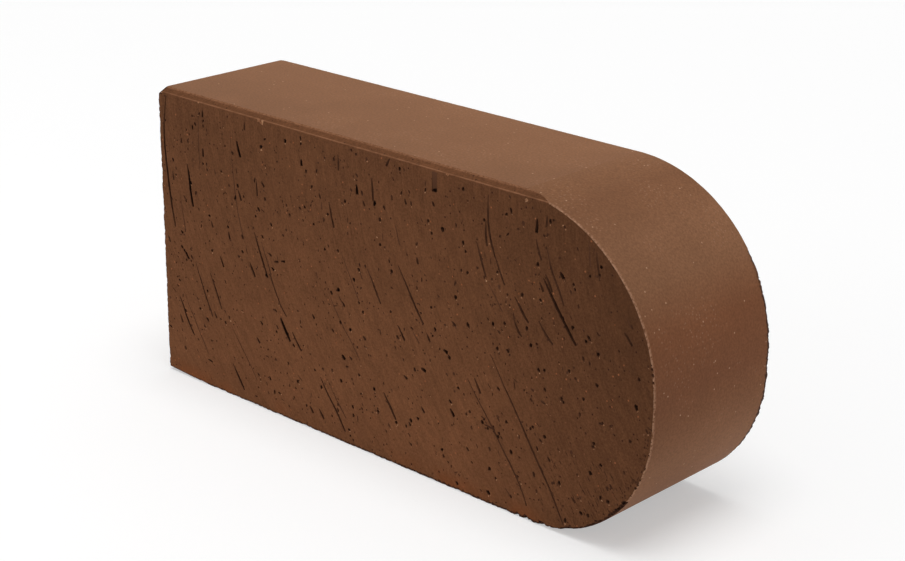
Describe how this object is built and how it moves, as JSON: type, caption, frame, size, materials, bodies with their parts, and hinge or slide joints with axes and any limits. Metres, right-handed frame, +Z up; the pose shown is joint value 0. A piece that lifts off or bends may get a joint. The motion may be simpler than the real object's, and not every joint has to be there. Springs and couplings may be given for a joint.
{
  "type": "shaped stove brick",
  "caption": "Solid wire-cut clinker brick with a half-round end and a narrow bevel along a long edge, standing on its long narrow side.",
  "frame": {"origin": "on the floor, under the middle of the brick's bounding box", "axes": "+X towards the half-round nose, +Y from the bevelled cut face to the other cut face, +Z up"},
  "size_m": [0.25, 0.065, 0.12],
  "materials": {
    "fired_clay": "matt, as fired"
  },
  "bodies": {
    "root": {"stove_brick": "fired_clay"}
  },
  "joints": []
}
